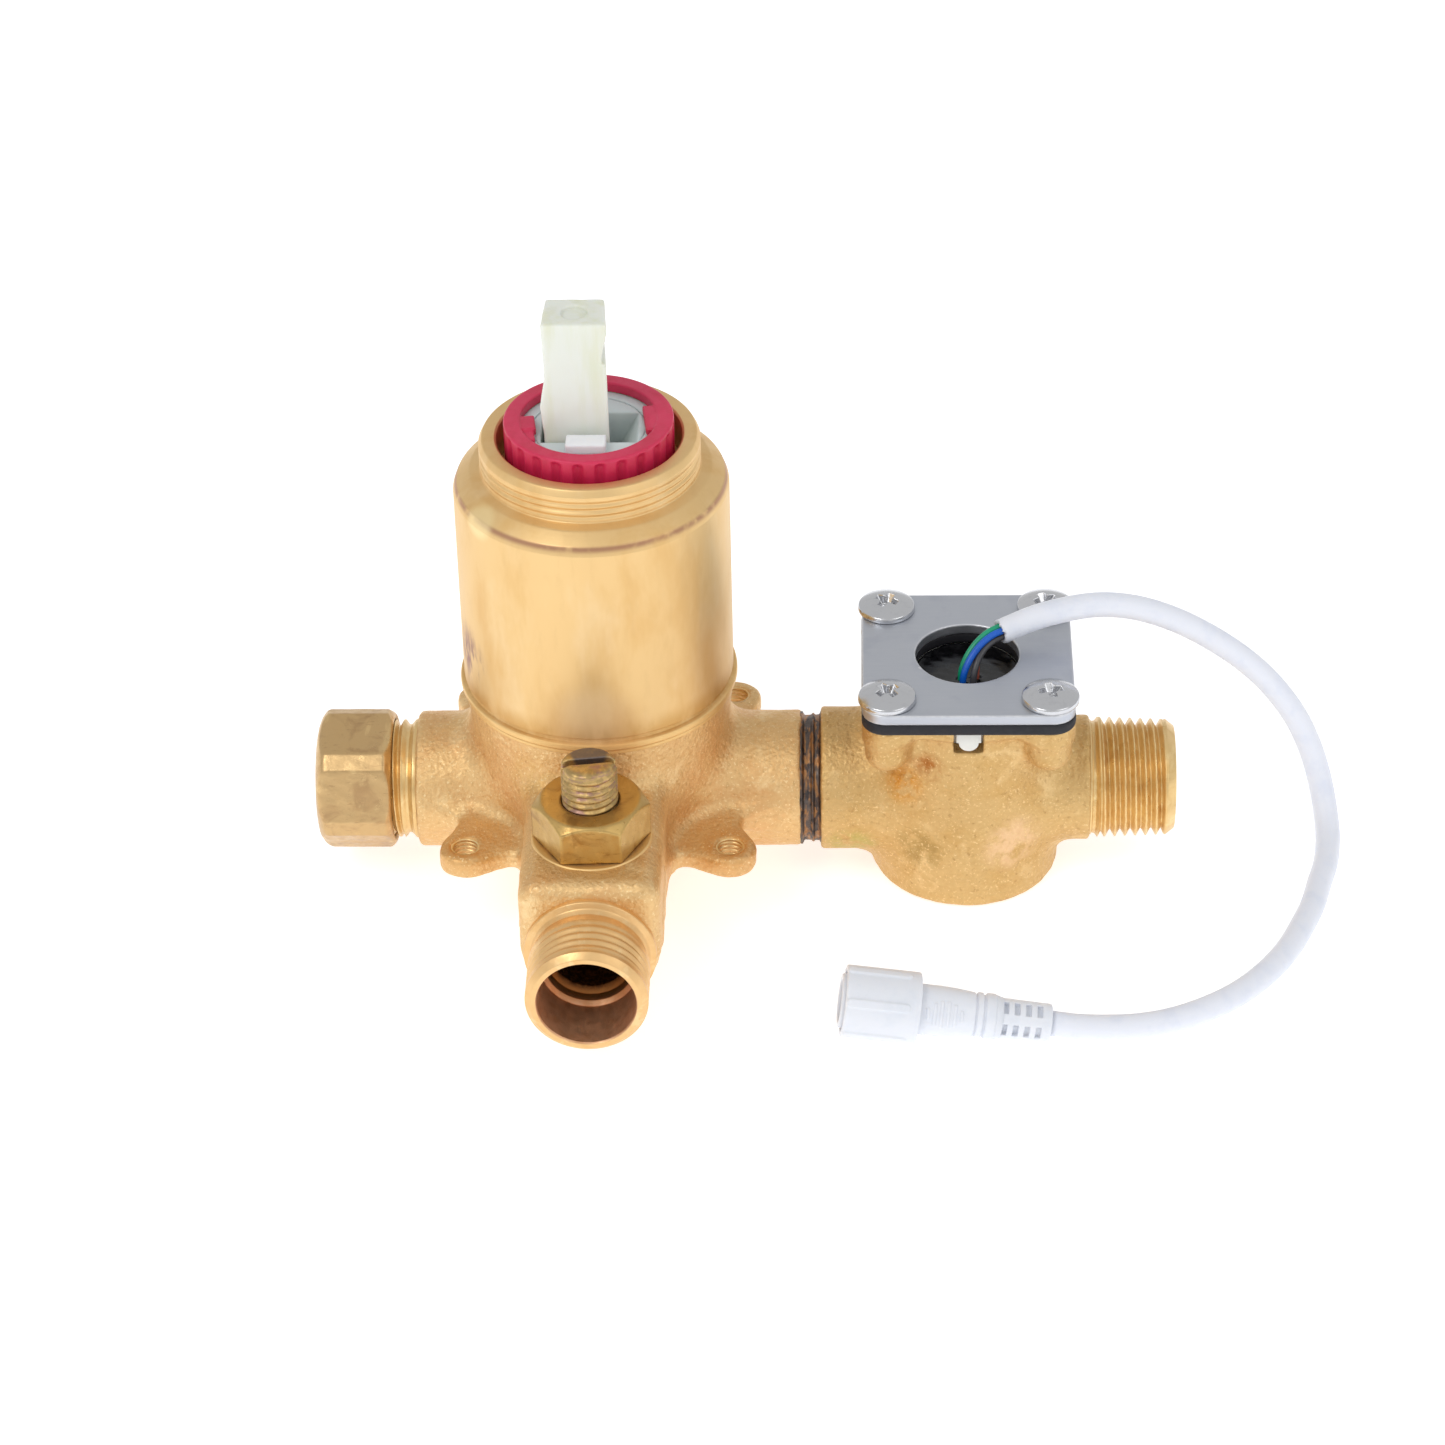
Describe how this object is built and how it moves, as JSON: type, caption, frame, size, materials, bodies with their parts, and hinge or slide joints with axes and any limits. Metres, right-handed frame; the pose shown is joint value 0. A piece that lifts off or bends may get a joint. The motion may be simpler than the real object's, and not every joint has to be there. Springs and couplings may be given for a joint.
{
  "type": "zone valve",
  "caption": "Brass single-lever mixing valve with inlet stops, capped outlet and an in-line flow sensor on a short cable.",
  "frame": {"origin": "cartridge axis where it crosses the pipe axis, midway through the mounting ears", "axes": "+X along the pipes to the sensor and outlet, -Y to the front inlet, +Z along the cartridge axis to the lever"},
  "size_m": [0.1819, 0.1288, 0.112],
  "materials": {
    "turned_brass": "turned, satin",
    "cast_brass": "sand cast and tumbled",
    "nut_brass": "milled, satin",
    "dark_brass": "oxidised",
    "braze": "brazed, dark oxide",
    "stainless": "fine brushed",
    "screw_steel": "polished",
    "pin_steel": "ground",
    "ceramic": "lapped",
    "rubber_black": "moulded",
    "gasket_rubber": "moulded",
    "red_plastic": "moulded, satin",
    "green_plastic": "moulded",
    "lever_plastic": "moulded, translucent",
    "cartridge_plastic": "moulded, satin",
    "white_plastic": "moulded",
    "connector_plastic": "moulded, satin",
    "cable_jacket": "extruded, satin",
    "potting_resin": "cast, glossy",
    "board": "solder mask",
    "magnet": "sintered ferrite",
    "wire_blue": "extruded",
    "wire_green": "extruded",
    "wire_brown": "extruded",
    "wire_grey": "extruded",
    "contact_brass": "gold flashed"
  },
  "bodies": {
    "valve": {"valve_body": "cast_brass", "cartridge_base": "cartridge_plastic", "base_seals": "rubber_black", "cartridge_housing": "cartridge_plastic", "housing_oring": "rubber_black", "fixed_disc": "ceramic", "disc_seals": "rubber_black", "hot_limit_ring": "red_plastic", "green_index_ring": "green_plastic", "retaining_nut": "nut_brass", "front_bonnet": "nut_brass", "back_bonnet": "nut_brass", "outlet_cap": "nut_brass", "cap_gasket": "rubber_black", "braze_ring": "braze", "sensor_body": "cast_brass", "turbine_cage": "white_plastic", "impeller_axle": "pin_steel", "sensor_capsule": "white_plastic", "capsule_oring": "rubber_black", "hall_board": "board", "potting": "potting_resin", "flange_gasket": "gasket_rubber", "clamp_plate": "stainless", "clamp_screws": "screw_steel", "wire_blue": "wire_blue", "wire_green": "wire_green", "wire_brown": "wire_brown", "wire_black": "wire_grey", "cable": "cable_jacket", "connector_body": "connector_plastic", "connector_pins": "contact_brass", "connector_seal": "rubber_black", "strain_relief": "connector_plastic"},
    "front_washer": {"front_stop_washer": "rubber_black"},
    "front_stem": {"front_stop_stem": "dark_brass", "front_stop_oring": "rubber_black"},
    "back_washer": {"back_stop_washer": "rubber_black"},
    "back_stem": {"back_stop_stem": "dark_brass", "back_stop_oring": "rubber_black"},
    "core": {"rotor": "cartridge_plastic", "rotor_oring": "rubber_black", "lever_pin": "pin_steel"},
    "lever": {"lever": "lever_plastic"},
    "disc": {"moving_disc": "ceramic", "disc_carrier": "white_plastic"},
    "turbine": {"impeller": "white_plastic", "impeller_magnet": "magnet"},
    "coupling": {"connector_nut": "connector_plastic"}
  },
  "joints": [
    {"name": "front_stop_travel", "type": "slide", "parent": "valve", "child": "front_washer", "axis": [0, 0, -1], "range_m": [0, 0.0055]},
    {"name": "front_stop_turn", "type": "hinge", "parent": "front_washer", "child": "front_stem", "pos_m": [0, -0.035, 0.02], "axis": [0, 0, -1], "range_deg": [0, 1584]},
    {"name": "back_stop_travel", "type": "slide", "parent": "valve", "child": "back_washer", "axis": [0, 0, -1], "range_m": [0, 0.0055]},
    {"name": "back_stop_turn", "type": "hinge", "parent": "back_washer", "child": "back_stem", "pos_m": [0, 0.035, 0.02], "axis": [0, 0, -1], "range_deg": [0, 1584]},
    {"name": "temperature", "type": "hinge", "parent": "valve", "child": "core", "pos_m": [0, 0, 0.067], "axis": [0, 0, 1], "range_deg": [-44, 44]},
    {"name": "flow", "type": "hinge", "parent": "core", "child": "lever", "pos_m": [-0.0017, 0, 0.067], "axis": [0, 1, 0], "range_deg": [0, 25]},
    {"name": "disc_shift", "type": "slide", "parent": "core", "child": "disc", "axis": [-1, 0, 0], "range_m": [0, 0.00528]},
    {"name": "turbine_spin", "type": "hinge", "parent": "valve", "child": "turbine", "pos_m": [0.0642, 0, 0], "axis": [0, 0, 1], "continuous": true},
    {"name": "coupling_turn", "type": "hinge", "parent": "valve", "child": "coupling", "pos_m": [0.0426, -0.0527, -0.0085], "axis": [0.9903, 0, -0.1392], "continuous": true}
  ],
  "couplings": [
    {"joint": "front_stop_turn", "follows": "front_stop_travel", "rad_per_m": 5026.5},
    {"joint": "back_stop_turn", "follows": "back_stop_travel", "rad_per_m": 5026.5},
    {"joint": "flow", "follows": "disc_shift", "rad_per_m": 82.6}
  ]
}
